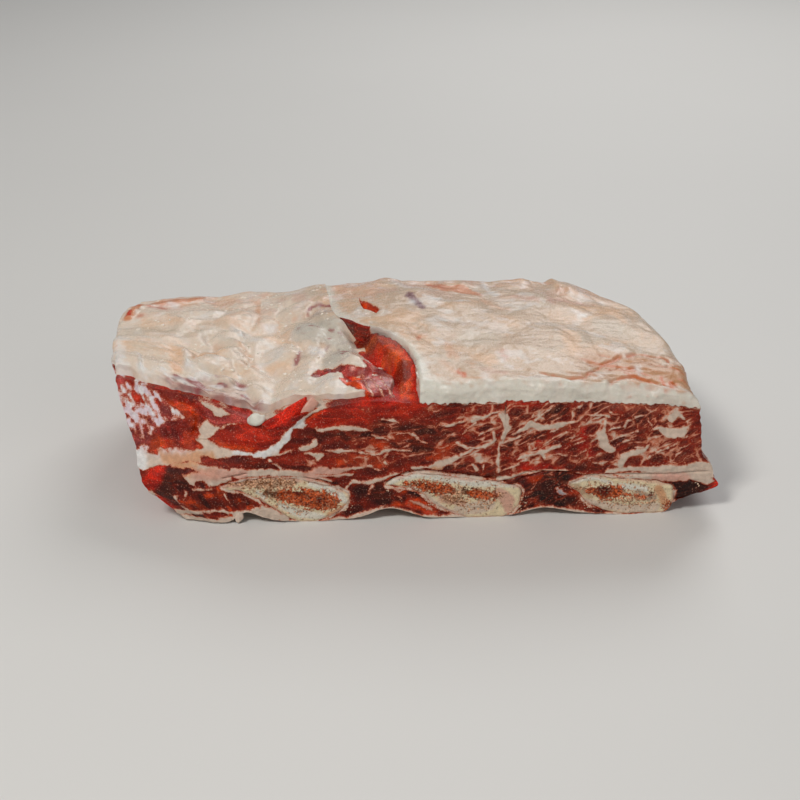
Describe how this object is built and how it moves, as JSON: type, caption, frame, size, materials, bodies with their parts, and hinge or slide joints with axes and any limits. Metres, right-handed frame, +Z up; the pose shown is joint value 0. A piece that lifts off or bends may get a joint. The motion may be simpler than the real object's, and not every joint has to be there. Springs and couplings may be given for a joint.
{
  "type": "raw beef short ribs",
  "caption": "Slab of raw beef short ribs, sawn across the bones: fat cap over marbled meat, a fat seam, and cut rib bones with marrow along the underside.",
  "frame": {"origin": "on the table under the centre of the slab's box", "axes": "+X across the ribs to the right of the sawn front face, +Y from the sawn front face to the sawn back face along the ribs, +Z up from the bones to the fat cap"},
  "size_m": [0.2396, 0.128, 0.0604],
  "materials": {
    "bone": "sawn bone, damp, cream with a pale rim and fine pores",
    "marrow": "porous red to orange marrow, damp",
    "fat": "raw fat, cream to pinkish white, moist, with a waxy sheen",
    "lean": "raw marbled meat, red, moist, with white fat through it",
    "rib_meat": "raw dark red meat between the ribs, moist, with fat through it"
  },
  "bodies": {
    "root": {"rib_left": "bone", "marrow_left": "marrow", "rib_middle": "bone", "marrow_middle": "marrow", "rib_right": "bone", "marrow_right": "marrow", "rib_meat_1": "rib_meat", "rib_meat_2": "rib_meat", "rib_meat_3": "rib_meat", "rib_meat_4": "rib_meat", "seam_fat": "fat", "lean_meat": "lean", "upper_muscle": "lean", "fat_cap_left": "fat", "fat_cap_right": "fat"}
  },
  "joints": []
}
